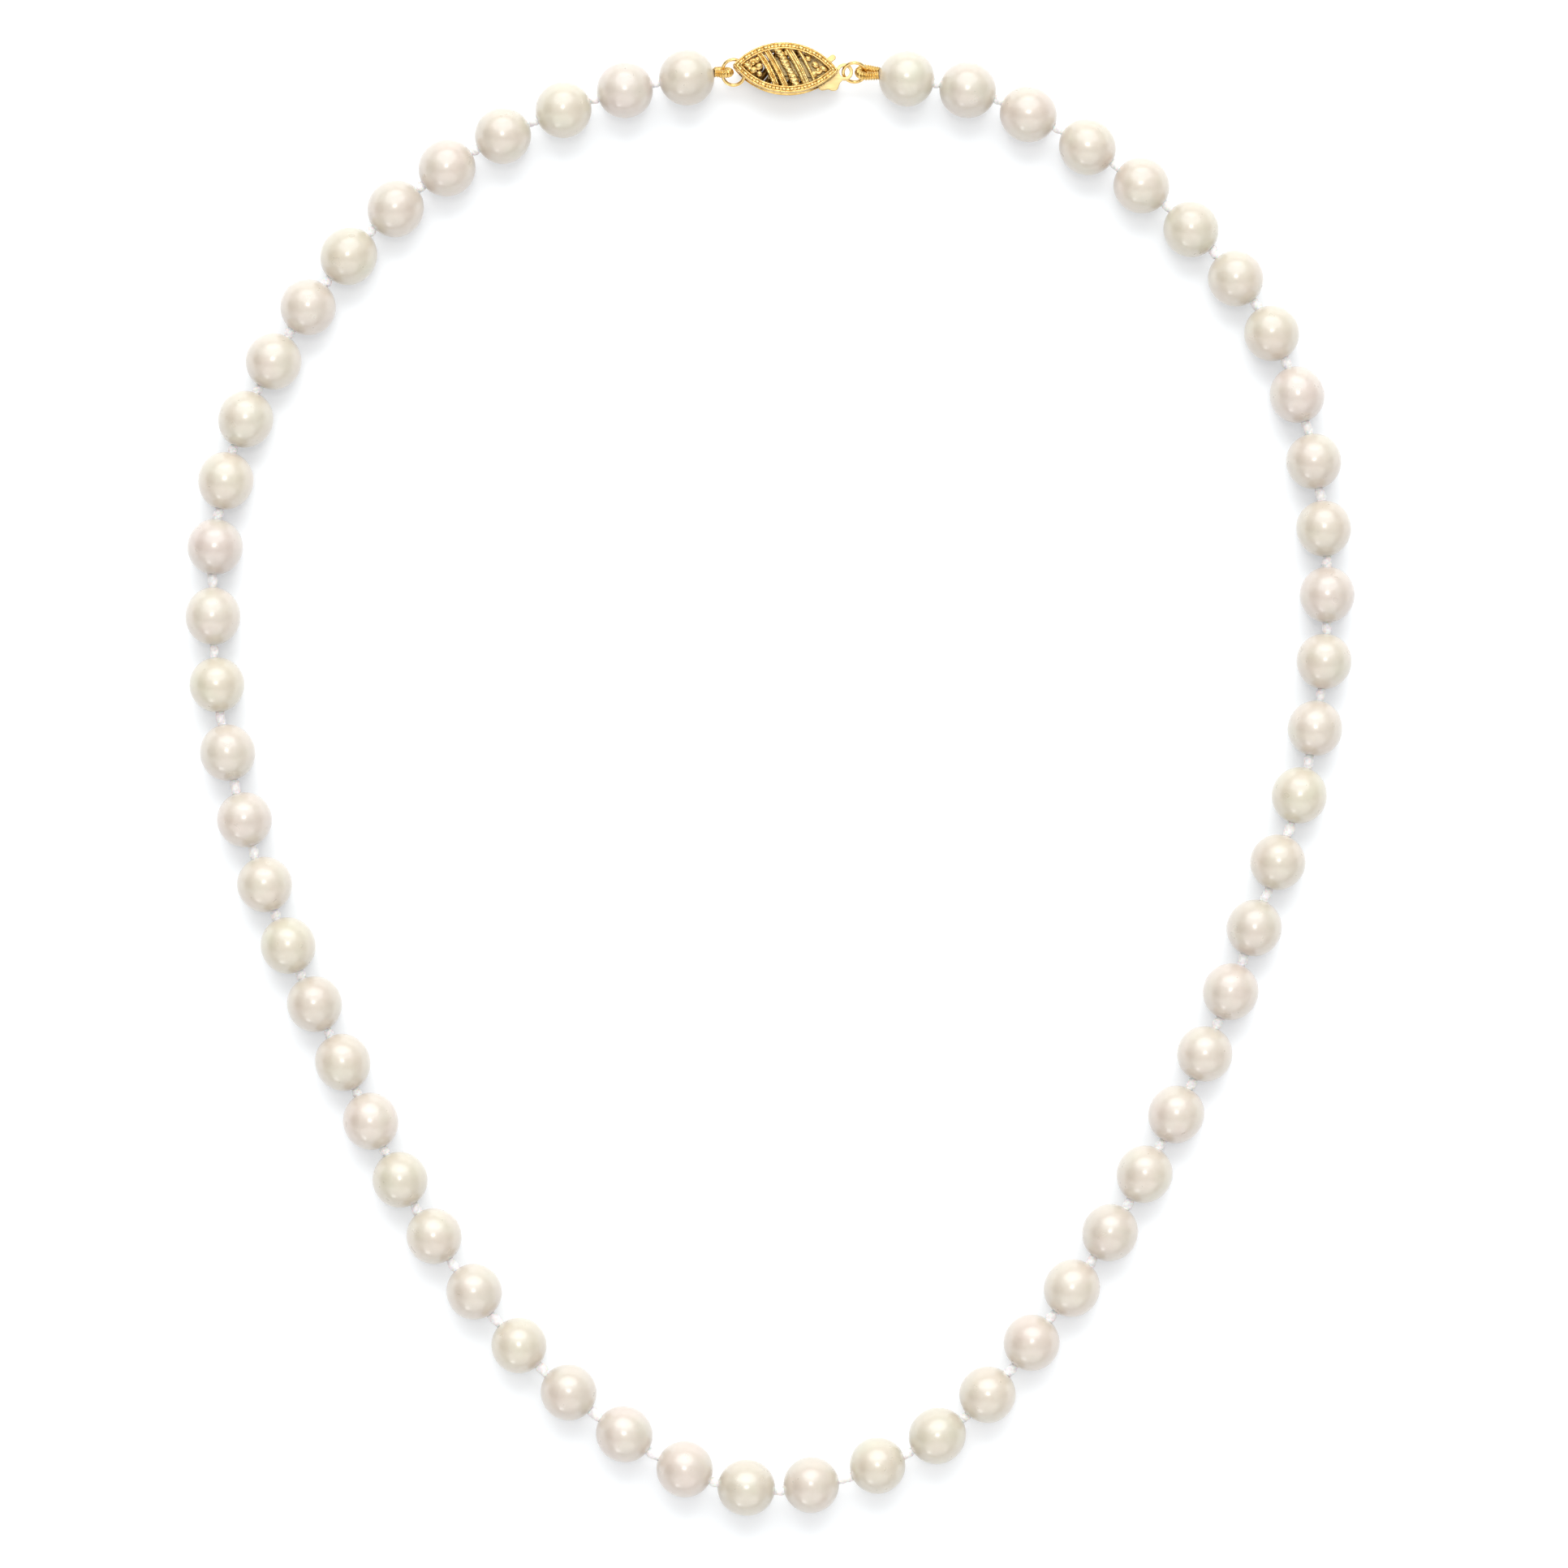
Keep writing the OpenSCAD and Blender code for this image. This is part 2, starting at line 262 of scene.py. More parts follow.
def piece(name, verts, faces, mat, body, replaces=(), flat=False):
    mesh = bpy.data.meshes.new(name)
    mesh.from_pydata([tuple(v) for v in np.array(verts, float) * MM], [], faces)
    mesh.validate()
    bm = bmesh.new()
    bm.from_mesh(mesh)
    bmesh.ops.recalc_face_normals(bm, faces=bm.faces)
    bm.to_mesh(mesh)
    bm.free()
    if not flat:
        mesh.shade_smooth()
    mesh.materials.append(mat)
    obj = bpy.data.objects.new(name, mesh)
    bpy.context.scene.collection.objects.link(obj)
    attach(obj, body)
    if replaces:
        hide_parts(*replaces)
    return obj


class Shape:
    """Vertices and faces of one or more closed parts."""

    def __init__(self):
        self.verts, self.faces = [], []

    def add(self, verts, faces):
        start = len(self.verts)
        self.verts += [tuple(v) for v in verts]
        self.faces += [tuple(i + start for i in f) for f in faces]
        return self

    def rings(self, rings, closed=False, caps=True):
        """rings: array (rings, points, 3). Quads between them, ends closed by a fan."""
        rings = np.array(rings, float)
        m, n = rings.shape[:2]
        faces = []
        for i in range(m if closed else m - 1):
            a, b = i * n, ((i + 1) % m) * n
            faces += [(a + j, a + (j + 1) % n, b + (j + 1) % n, b + j) for j in range(n)]
        verts = rings.reshape(-1, 3)
        if caps and not closed:
            verts = np.vstack([verts, rings[0].mean(0), rings[-1].mean(0)])
            first, last = m * n, m * n + 1
            faces += [(first, (j + 1) % n, j) for j in range(n)]
            faces += [(last, (m - 1) * n + j, (m - 1) * n + (j + 1) % n) for j in range(n)]
        return self.add(verts, faces)

    def moved(self, move):
        self.verts = [tuple(v) for v in move(np.array(self.verts))]
        return self


def smooth(points, step):
    """Catmull-Rom curve through points, resampled every step."""
    p = np.array(points, float)
    n = len(p)
    fine = []
    for i in range(n - 1):
        a, b, c, d = p[max(i - 1, 0)], p[i], p[i + 1], p[min(i + 2, n - 1)]
        for t in np.linspace(0, 1, 16, endpoint=False):
            fine.append(b + (c - a) * t / 2 + (2 * a - 5 * b + 4 * c - d) * t**2 / 2
                        + (3 * b - a - 3 * c + d) * t**3 / 2)
    fine.append(p[-1])
    fine = np.array(fine)
    run = np.r_[0, np.cumsum(np.linalg.norm(np.diff(fine, axis=0), axis=1))]
    count = max(3, int(round(run[-1] / step)) + 1)
    at = np.linspace(0, run[-1], count)
    return np.c_[[np.interp(at, run, fine[:, k]) for k in range(3)]].T


def frames(path, up=None):
    """Tangent and two normals along a path, without twist, or with the second near up."""
    path = np.array(path, float)
    tangent = np.gradient(path, axis=0)
    tangent /= np.linalg.norm(tangent, axis=1)[:, None]
    if up is not None:
        side = np.cross(np.array(up, float), tangent)
        side /= np.linalg.norm(side, axis=1)[:, None]
        return tangent, side, np.cross(tangent, side)
    n = np.cross(tangent[0], [0.31, 0.17, 0.93])
    n /= np.linalg.norm(n)
    side = []
    for t in tangent:
        n = n - t * (n @ t)
        n /= np.linalg.norm(n)
        side.append(n)
    side = np.array(side)
    return tangent, side, np.cross(tangent, side)


def tube(shape, path, radius, sides=20):
    """radius is a number or a function of (distance along, angle array)."""
    path = np.array(path, float)
    _, a, b = frames(path)
    run = np.r_[0, np.cumsum(np.linalg.norm(np.diff(path, axis=0), axis=1))]
    angle = np.linspace(0, 2 * math.pi, sides, endpoint=False)
    rings = []
    for p, u, v, s in zip(path, a, b, run):
        r = radius(s, angle) if callable(radius) else np.full(sides, radius)
        rings.append(p + np.outer(np.cos(angle) * r, u) + np.outer(np.sin(angle) * r, v))
    return shape.rings(rings)


def sweep(shape, path, profile):
    """profile: points (across, up) of a closed outline."""
    path = np.array(path, float)
    _, side, top = frames(path, up=(0, 0, 1))
    prof = np.array(profile, float)
    return shape.rings([p + np.outer(prof[:, 0], u) + np.outer(prof[:, 1], v)
                        for p, u, v in zip(path, side, top)])


def superball(shape, centre, half, turn=0.0, power=0.5, segments=16, rings=10):
    """A rounded block: half sizes along its own axes, turned about Z."""
    def soft(x):
        return np.sign(x) * np.abs(x) ** power
    c, s = math.cos(turn), math.sin(turn)
    out = []
    for phi in np.linspace(-math.pi / 2 * 0.98, math.pi / 2 * 0.98, rings):
        t = np.linspace(0, 2 * math.pi, segments, endpoint=False)
        x = half[0] * soft(np.cos(phi)) * soft(np.cos(t))
        y = half[1] * soft(np.cos(phi)) * soft(np.sin(t))
        z = np.full(segments, half[2] * soft(np.sin(phi)))
        out.append(np.c_[x * c - y * s, x * s + y * c, z] + np.array(centre))
    return shape.rings(out)


# ---- Strand: the pearls' places come from the CAD nodes ----

def pearl_centres(name):
    bm = bmesh.new()
    bm.from_mesh(frame["nodes"][name].data)
    bmesh.ops.remove_doubles(bm, verts=bm.verts, dist=1e-7)
    left, found = set(bm.verts), []
    while left:
        stack = [left.pop()]
        island = [stack[0]]
        while stack:
            for e in stack.pop().link_edges:
                for v in e.verts:
                    if v in left:
                        left.remove(v)
                        stack.append(v)
                        island.append(v)
        co = np.array([v.co for v in island]) / MM
        found.append((co.min(0) + co.max(0)) / 2)
    bm.free()
    return found


loose = [(c, n) for n in frame["nodes"] if n.startswith("pearls_") for c in pearl_centres(n)]
start = middle("gimp_left")
centres, owners = [], []
while loose:
    nearest = min(range(len(loose)), key=lambda i: np.linalg.norm(loose[i][0] - start))
    start, owner = loose.pop(nearest)
    centres.append(start)
    owners.append(owner)
centres = np.array(centres)
COUNT = len(centres)
CAD_R = centres[:, 2].mean()


def unit(v):
    return v / np.linalg.norm(v)


aims = [unit(centres[min(i + 1, COUNT - 1)] - centres[max(i - 1, 0)]) for i in range(COUNT)]
# Pearls are matched and graded a little: full size at the front and the back
radii = [CAD_R * (0.988 + 0.008 * math.cos(2 * math.pi * (i - 32) / 29) + dice.uniform(-0.006, 0.003))
         for i in range(COUNT)]
spots = np.array([(c[0], c[1], r) for c, r in zip(centres, radii)])
# Half length along the hole: most are a little longer than wide
reaches = [r * (1 + dice.uniform(0.0, 0.05)) for r in radii]

CREAM, ROSE, IVORY = (0.525, 0.462, 0.388), (0.532, 0.46, 0.40), (0.52, 0.468, 0.38)
# Numbers of the pearls with a pink and with a greenish cast, counted from the left gimp
ROSY = {2, 5, 8, 12, 16, 21, 27, 28, 34, 38, 40, 46, 49, 55}
GREENISH = {3, 7, 10, 14, 18, 22, 25, 29, 31, 32, 43, 52, 57}


def pearl(i):
    r, aim, centre = radii[i], aims[i], spots[i]
    side = unit(np.cross(aim, [0, 0, 1]))
    up = np.cross(side, aim)
    mouth = math.asin((HOLE_R + 0.12) / r)
    polar = np.linspace(mouth, math.pi - mouth, 46)
    profile = [(r * math.cos(a), r * math.sin(a)) for a in polar]
    edge = r * math.cos(mouth)
    profile = ([(edge - 0.9, HOLE_R), (edge - 0.12, HOLE_R), (edge - 0.03, HOLE_R + 0.04)] + profile
               + [(-edge + 0.03, HOLE_R + 0.04), (-edge + 0.12, HOLE_R), (-edge + 0.9, HOLE_R)])
    turn = np.linspace(0, 2 * math.pi, 64, endpoint=False)
    stretch, egg = reaches[i] / r, dice.uniform(-0.02, 0.02)
    circle = np.outer(np.cos(turn), side) + np.outer(np.sin(turn), up)
    rings = [centre + aim * x * stretch + y * (1 + egg * x / r) * circle for x, y in profile]
    shape = Shape().rings(rings, closed=True)
    co = np.array(shape.verts)
    out = co - centre
    shift = dice.uniform(0, 90)
    dents = [(unit(np.array([dice.gauss(0, 1) for _ in range(3)])), dice.uniform(0.1, 0.2),
              dice.uniform(0.006, 0.03)) for _ in range(dice.randint(1, 4))]
    lift, tints = [], []
    base = np.array(ROSE if i + 1 in ROSY else IVORY if i + 1 in GREENISH else CREAM)
    base = base * (1 + dice.uniform(-0.02, 0.02)) * np.array([1, 1, 1 + dice.uniform(-0.02, 0.02)])
    for v in out:
        n = v / np.linalg.norm(v)
        wave = noise.noise(Vector(n * 1.3 + shift)) * 0.035 + noise.noise(Vector(n * 4 + shift)) * 0.006
        for where, size, depth in dents:
            d = math.acos(max(-1, min(1, float(n @ where))))
            wave -= depth * math.exp(-((d / size) ** 2))
        lift.append(wave - 0.02)
        glow = noise.noise(Vector(n * 1.1 - shift))
        tints.append(base * (1 + glow * np.array([0.02, -0.02, -0.01])))
    shape.verts = list(map(tuple, co + out / np.linalg.norm(out, axis=1)[:, None]
                           * np.array(lift)[:, None]))
    body = frame["nodes"][owners[i]]["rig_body"]
    first = owners[i] not in owners[:i]
    obj = piece(f"pearl_{i + 1:02d}", shape.verts, shape.faces, NACRE, body,
                (owners[i],) if first else ())
    layer = obj.data.color_attributes.new("tint", "FLOAT_COLOR", "POINT")
    colours = np.c_[np.array(tints), np.ones(len(tints))]
    layer.data.foreach_set("color", colours.ravel().astype(np.float32))


for i in range(COUNT):
    pearl(i)

# ---- Silk: twisted thread, with a hand-tied knot between each two pearls ----

def mouth_of(i, way):
    return spots[i] + aims[i] * way * reaches[i]


def knot_place(i):
    """Middle, direction and gap of the knot between pearl i and the next."""
    a, b = mouth_of(i, 1), mouth_of(i + 1, -1)
    return (a + b) / 2, unit(spots[i + 1] - spots[i]), np.linalg.norm(b - a)


def tie_knot(shape, i):
    centre, along, gap = knot_place(i)
    half = gap / 2 + 0.2
    thick = dice.uniform(0.52, 0.59)
    taper, lean, wraps = dice.uniform(-0.22, 0.22), dice.uniform(0, 6.28), dice.choice((2, 3))
    side = unit(np.cross(along, [0, 0, 1]))
    up = np.cross(side, along)
    turn = np.linspace(0, 2 * math.pi, 32, endpoint=False)
    rings = []
    for t in np.linspace(-1, 1, 25):
        body = (1 - abs(t) ** 4) ** 0.5 if abs(t) < 1 else 0.0
        waist = 0.05 * math.exp(-((abs(t) - 0.62) / 0.12) ** 2)
        r = 0.26 + (thick - 0.26) * body * (1 + taper * t) - waist
        groove = np.abs(np.sin(wraps * turn / 2 + 2.4 * t + lean)) ** 0.6
        r = r * (0.86 + 0.18 * groove)
        off = 0.05 * math.sin(2 * t + lean)
        rings.append(centre + along * t * half + side * off
                     + np.outer(np.cos(turn) * r, side) + np.outer(np.sin(turn) * r * 0.94, up))
    shape.rings(rings)


def thread(shape, path):
    tube(shape, smooth(path, 0.12),
         lambda s, a: 0.205 + 0.045 * np.abs(np.cos(a - 2 * math.pi * s / 1.1)), 16)


def side_of(name):
    """-1 where the group's front side is the end of its run of pearls, 1 where it is the start."""
    return 0 if name.endswith("front") else -1 if "_left_" in name else 1


for name in sorted(set(owners)):
    mine = [i for i in range(COUNT) if owners[i] == name]
    first, last = mine[0], mine[-1]
    side = side_of(name)
    knots = list(range(first, last))
    if side < 0:
        knots.append(last)
    elif side > 0:
        knots.insert(0, first - 1)
    shape = Shape()
    for k in knots:
        tie_knot(shape, k)
    path = [mouth_of(i, way) + aims[i] * way * d for i in mine
            for way, d in ((-1, -0.4), (1, -0.4))]
    if side > 0:
        path.insert(0, knot_place(first - 1)[0])
    elif side < 0:
        path.append(knot_place(last)[0])
    thread(shape, path)
    piece(name.replace("pearls", "silk_thread"), shape.verts, shape.faces, SILK,
          frame["nodes"][name]["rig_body"], (name.replace("pearls", "silk"),))

# ---- Gimp: fine wire coiled round the thread, looped through each jump ring ----

WIRE_R = 0.2
roll_y, roll_z = middle("jump_ring_right")[1:]


def gimp(name, body, bend_x, i, way, tip):
    """A loop of coiled wire from pearl i round the ring's wire at bend_x.

    way is the direction in X from the ring to the pearl, tip the loop's lean off the vertical.
    """
    lean = np.array([0, -math.sin(tip), math.cos(tip)])
    bend = np.array([bend_x, roll_y, roll_z])
    mouth = mouth_of(i, -1 if i == 0 else 1)
    out = unit(bend - mouth)
    r = 0.8
    near = mouth + out * 0.02
    leg = [near + lean * 0.48, near + out * 0.4 + lean * 0.56]
    arc = [bend + np.array([-way, 0, 0]) * r * math.cos(a) + lean * r * math.sin(a)
           for a in np.radians([90, 60, 30, 0, -30, -60, -90])]
    path = leg + arc + [near + out * 0.4 - lean * 0.56, near - lean * 0.48]
    pitch = 0.3
    path = smooth(path, pitch / 8)
    shape = Shape()
    tube(shape, path, lambda s, a: 0.36 + 0.14 * np.abs(np.sin((a - 2 * math.pi * s / pitch) / 2)), 24)
    piece(name + "_coil", shape.verts, shape.faces, COIL, body, (name,))


left_ring, right_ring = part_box("jump_ring_left"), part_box("jump_ring_right")
gimp("gimp_left", "left_9", left_ring[0].x / MM + WIRE_R, 0, -1, math.radians(20))
gimp("gimp_right", "right_9", right_ring[1].x / MM - WIRE_R, COUNT - 1, 1, math.radians(40))

# ---- Jump rings, with the cut where each was closed ----

def jump_ring(name, body, straight, tip, cut):
    low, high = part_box(name)
    centre = middle(name)
    r = (high.x - low.x) / 2 / MM - WIRE_R
    angle = np.radians(np.linspace(cut, cut + 359.2, 120))
    path = np.c_[r * np.cos(angle), r * np.sin(angle) + np.sign(np.sin(angle)) * straight / 2,
                 0 * angle]
    c, s = math.cos(tip), math.sin(tip)
    path = np.c_[path[:, 0], path[:, 1] * c, path[:, 1] * s] + centre
    shape = tube(Shape(), path, lambda s, a: np.full(len(a), WIRE_R), 20)
    piece(name.replace("jump_ring", "ring"), shape.verts, shape.faces, WIRE, body, (name,))


jump_ring("jump_ring_left", "clasp_shell", 0.5, math.radians(20), 250)
jump_ring("jump_ring_right", "clasp_hook", 0.0, math.radians(40), 300)

# ---- Clasp shell: two cast filigree lids ----

def lens(inset, count=60):
    """The lids' outline, drawn in by inset: the upper arc, then the lower one back."""
    r = ARC_R - inset
    reach = math.acos(min(1, ARC_OFF / r))
    a = np.linspace(-reach, reach, count)
    top = np.c_[r * np.sin(a), r * np.cos(a) - ARC_OFF]
    return np.vstack([top[:-1], -top[:-1]])


def dome(p):
    """Lids bow: the tips lie a little lower than the middle."""
    p = np.array(p, float)
    p[:, 2] -= 0.16 * (p[:, 0] / (SHELL_L / 2)) ** 2 * (p[:, 2] > LID_IN + 0.05)
    return p


# Cross sections. The border's points are (inset from the outline, height); a bar's are
# (across, height above BAR_Z).
BORDER = [(0.03, 1.0), (0.0, 1.06), (0.0, 1.34), (0.02, 1.5), (0.07, 1.6), (0.14, 1.63), (0.2, 1.6),
          (0.245, 1.52), (0.26, 1.47), (0.53, 1.48), (0.545, 1.56), (0.58, 1.68), (0.65, 1.75),
          (0.71, 1.74), (0.76, 1.67), (0.79, 1.54), (0.8, 1.36), (0.8, 1.06), (0.77, 1.0)]
RIDGED = [(-0.36, 0), (-0.37, 0.28), (-0.32, 0.42), (-0.22, 0.48), (-0.1, 0.43), (-0.03, 0.22),
          (0.03, 0.22), (0.1, 0.38), (0.22, 0.43), (0.33, 0.36), (0.37, 0.24), (0.36, 0)]
PLAIN = [(-0.42, 0), (-0.43, 0.25), (-0.38, 0.4), (-0.24, 0.49), (-0.08, 0.46), (0.02, 0.32),
         (0.1, 0.25), (0.2, 0.33), (0.3, 0.37), (0.39, 0.3), (0.42, 0.2), (0.42, 0)]
SLIM = [(-0.2, 0), (-0.21, 0.27), (-0.14, 0.38), (0.01, 0.41), (0.15, 0.34), (0.2, 0.22), (0.2, 0)]
BAR_Z = LID_IN + 0.12
# (where the bar crosses the long axis, its section, its bow sideways, its rise in the middle)
BARS = [(-2.25, RIDGED, 0.18, 0.06), (-1.2, RIDGED, 0.12, 0.1), (1.45, PLAIN, 0.12, 0.1),
        (2.62, SLIM, 0.08, 0.06)]
CURL_R, CURL_WIRE = 0.4, 0.17
# (middle, first angle, last angle) of the curled wires in the corners
CURLS = [((-3.75, 0.3), 20, 250), ((3.75, -0.05), -150, 60)]
# (x, y, half length, half width) of the cast lumps, in the corners and beside the crimped wire;
# the half sizes are before LUMP_SCALE
LUMPS = [(-4.45, 0.05, 0.4, 0.22), (-3.7, -0.5, 0.36, 0.3), (-3.3, 0.72, 0.33, 0.25),
         (-3.05, -0.05, 0.34, 0.3), (-3.75, 0.3, 0.2, 0.2), (-4.1, -0.35, 0.22, 0.22),
         (-2.95, -0.9, 0.26, 0.24), (4.35, 0.12, 0.4, 0.22), (3.4, 0.5, 0.34, 0.26),
         (3.75, -0.1, 0.22, 0.2), (3.3, -0.6, 0.3, 0.28), (2.55, 1.15, 0.28, 0.22),
         (0.05, 1.72, 0.3, 0.24), (-0.5, 1.55, 0.26, 0.24)]
LUMP_SCALE = 1.35
CRIMP_PITCH, CRIMP_Z, CRIMP_FLAT = 0.47, 1.36, 0.72
BEAD_INSET, BEAD_Z, BEAD_STEP, BEADS_EACH_WAY = 0.395, 1.5, math.radians(6.3), 7


def inside(x, y, inset):
    return math.hypot(x, abs(y) + ARC_OFF) < ARC_R - inset


def crossing(x, bow, inset=0.68):
    """A bar's line across the window, bowed to one side by bow."""
    d = np.array([math.cos(SLANT), math.sin(SLANT)])
    n = np.array([-d[1], d[0]])
    ends = []
    for way in (-1, 1):
        t = 0.0
        while inside(x + way * t * d[0], way * t * d[1], inset) and t < 6:
            t += 0.01
        ends.append(way * t)
    t = np.linspace(ends[0], ends[1], 25)
    mid, half = (ends[0] + ends[1]) / 2, (ends[1] - ends[0]) / 2
    off = bow * (1 - ((t - mid) / half) ** 2)
    return np.c_[x + t * d[0] + off * n[0], t * d[1] + off * n[1], np.zeros(len(t))]


def lid(prefix, side):
    """side 1 is the upper lid; -1 is the same casting turned over about its long axis."""
    def turned(p):
        p = dome(p)
        return at_shell(p * np.array([1, side, side]))

    border = Shape()
    rings = [np.c_[lens(d), np.full(118, z)] for d, z in BORDER]
    border.rings(np.array(rings), closed=True)
    co = np.array(border.verts)
    ripple = np.array([noise.noise(Vector(p * 1.4 + side * 7)) for p in co]) * 0.03
    co[:, 2] += ripple * (co[:, 2] > 1.3)
    border.verts = list(map(tuple, co))

    bars = Shape()
    for x, profile, bow, rise in BARS:
        path = crossing(x, bow)
        path[:, 2] = BAR_Z + rise * np.sin(np.linspace(0, math.pi, len(path)))
        sweep(bars, path, profile)

    twist = Shape()
    path = smooth(crossing(0.2, 0.05, 0.62) + np.array([0, 0, BAR_Z + 0.26]), 0.035)
    waves = [dice.uniform(-0.5, 0.5) for _ in range(12)]

    def crimped(s, a):
        k = s / CRIMP_PITCH
        j = waves[int(k) % 12]
        crest = np.abs(np.cos(math.pi * (k + 0.14 * j) + 0.7 * np.sin(a))) ** 0.8
        return 0.35 + 0.13 * crest + 0.04 * np.cos(2 * a + 3 * s) + 0.03 * j

    tube(twist, path, crimped, 24)
    twist.verts = [(x, y, CRIMP_Z + (z - CRIMP_Z) * CRIMP_FLAT) for x, y, z in twist.verts]

    scrolls = Shape()
    for (x, y), first, last in CURLS:
        a = np.radians(np.linspace(first, last, 30))
        path = np.c_[x + CURL_R * np.cos(a), y + CURL_R * np.sin(a), BAR_Z + 0.24 + 0.05 * np.sin(a)]
        tube(scrolls, path, CURL_WIRE, 14)
    for x, y, long, wide in LUMPS:
        half = (long * LUMP_SCALE, wide * LUMP_SCALE, dice.uniform(0.2, 0.3))
        superball(scrolls, (x, y, BAR_Z + 0.2), half, dice.uniform(-0.9, 0.9), 0.85, 16, 10)

    beads = Shape()
    r = ARC_R - BEAD_INSET
    for way in (1, -1):
        for n in range(-BEADS_EACH_WAY, BEADS_EACH_WAY + 1):
            a = n * BEAD_STEP + dice.uniform(-0.004, 0.004)
            x, y = r * math.sin(a), (r * math.cos(a) - ARC_OFF)
            half = (0.28 * dice.uniform(0.85, 1.1), 0.16, 0.17 * dice.uniform(0.8, 1.15))
            turn = (dice.uniform(-0.12, 0.12) - a) * way
            superball(beads, (x, way * y, BEAD_Z), half, turn, 0.5, 16, 10)

    back = "back" if side < 0 else "top"
    # The back lid's bars, crimped wire and scrolls take the dark gold copy: painted shade
    open_work, fine = (CAST, WIRE) if side > 0 else (SHADED_GOLD, SHADED_GOLD)
    for shape, name, mat, nodes in (
            (border, "border", CAST, [f"clasp_{back}_border"]),
            (bars, "bars", open_work, [f"clasp_{back}_bars"]),
            (beads, "milgrain", CAST, [f"clasp_{back}_milgrain"]),
            (twist, "crimped_wire", fine, ["clasp_top_twist"] if side > 0 else []),
            (scrolls, "scrolls", open_work, ["clasp_top_scrolls"] if side > 0 else [])):
        shape.moved(turned)
        piece(f"{prefix}_{name}", shape.verts, shape.faces, mat, "clasp_shell", nodes)


lid("lid", 1)
lid("back_lid", -1)

# Wall between the lids, round the closed end
wall = Shape()
r = ARC_R - 0.45
reach = [math.asin(x / r) for x in (-4.3, 1.5)]
for way in (1, -1):
    a = np.linspace(*reach, 40)
    path = np.c_[r * np.sin(a), way * (r * np.cos(a) - ARC_OFF), 0 * a]
    sweep(wall, path, [(-0.15, -1), (-0.15, 1), (-0.05, 1.02), (0.05, 1.02), (0.15, 1), (0.15, -1),
                       (0.05, -1.02), (-0.05, -1.02)])
wall.moved(at_shell)
piece("side_wall", wall.verts, wall.faces, WIRE, "clasp_shell", ("clasp_side_wall",))
for name in ("clasp_ring_pin", "clasp_catch_bar"):
    data = frame["nodes"][name].data
    data.materials.clear()
    data.materials.append(WIRE)

# ---- Hook and tongue: rolled plate with rounded edges, outlined round the shell's middle ----

def rounded(points, times=2):
    p = np.array(points, float)
    for _ in range(times):
        q = np.roll(p, -1, 0)
        p = np.stack([0.8 * p + 0.2 * q, 0.2 * p + 0.8 * q], 1).reshape(-1, 2)
    return p


def plate(name, outlines, z, thick, body, node_name, extra=None):
    """Flat plate with a soft edge, cut from outlines: the outer line first, then its holes."""
    curve = bpy.data.curves.new(name, "CURVE")
    curve.dimensions, curve.fill_mode = "2D", "BOTH"
    edge = 0.06
    curve.extrude, curve.bevel_depth, curve.bevel_resolution = (thick / 2 - edge) * MM, edge * MM, 3
    curve.offset = -edge * MM
    for line in outlines:
        spline = curve.splines.new("POLY")
        spline.points.add(len(line) - 1)
        spline.use_cyclic_u = True
        for point, (x, y) in zip(spline.points, line):
            point.co = (x * MM, y * MM, 0, 1)
    holder = bpy.data.objects.new(name, curve)
    bpy.context.scene.collection.objects.link(holder)
    bpy.context.view_layer.update()
    mesh = bpy.data.meshes.new_from_object(holder.evaluated_get(bpy.context.evaluated_depsgraph_get()))
    verts = np.array([v.co for v in mesh.vertices]) / MM
    verts[:, 2] += z
    faces = [tuple(f.vertices) for f in mesh.polygons]
    bpy.data.objects.remove(holder)
    shape = Shape().add(verts, faces)
    if extra:
        extra(shape)
    shape.moved(at_shell)
    obj = piece(name, shape.verts, shape.faces, PALE, body, (node_name,), flat=True)
    bm = bmesh.new()
    bm.from_mesh(obj.data)
    bmesh.ops.remove_doubles(bm, verts=bm.verts, dist=1e-6)
    bm.to_mesh(obj.data)
    bm.free()
    obj.data.shade_smooth()
    obj.data.set_sharp_from_angle(angle=math.radians(40))
    return obj


around = np.radians(np.arange(-100, 158, 8))
eye_rim = [(EYE[0] + math.cos(a), EYE[1] + math.sin(a)) for a in around]
wing = rounded([(3.9, -1.3), (3.9, -2.15), (4.38, -2.3), (5.05, -2.08), (5.46, -2.26), (5.9, -2.22),
                (6.16, -2.0), (6.28, -1.5), (6.45, -1.15)])[2:-6]
hook_line = [(-1.6, -1.3), (3.6, -1.3), *[tuple(p) for p in wing], *eye_rim, (5.7, 0.5), (5.2, 0.68),
             (3.9, 0.9), (3.6, 1.3), (-2.0, 1.3), (-2.0, -1.3)]
around = np.linspace(0, 2 * math.pi, 40)[:-1]
hole = [(EYE[0] + EYE_HOLE_R * math.cos(a), EYE[1] + EYE_HOLE_R * math.sin(a)) for a in around]


def fold(shape):
    """The strip's end, folded over to carry the tongue."""
    sweep(shape, [(-1.43, y, 0.1) for y in np.linspace(-0.5, 0.5, 5)],
          [(-0.17, 0), (-0.17, 0.5), (-0.1, 0.58), (0.1, 0.6), (0.17, 0.55), (0.17, 0)])


plate("hook", [hook_line, hole], 0, 0.3, "clasp_hook", "clasp_hook", fold)
tab = np.radians(np.arange(-60, 150, 12)) + math.radians(2)
tip = (5.37, 1.5)
tongue_line = [(-1.2, -0.9), (4.4, -0.9), (4.6, -0.4), (4.6, 0.42),
               *[(tip[0] + 0.35 * math.cos(a), tip[1] + 0.35 * math.sin(a)) for a in tab],
               (4.15, 0.98), (3.9, 0.9), (-1.2, 0.9)]
plate("tongue", [tongue_line], 0.6, 0.2, "clasp_tongue", "clasp_tongue")

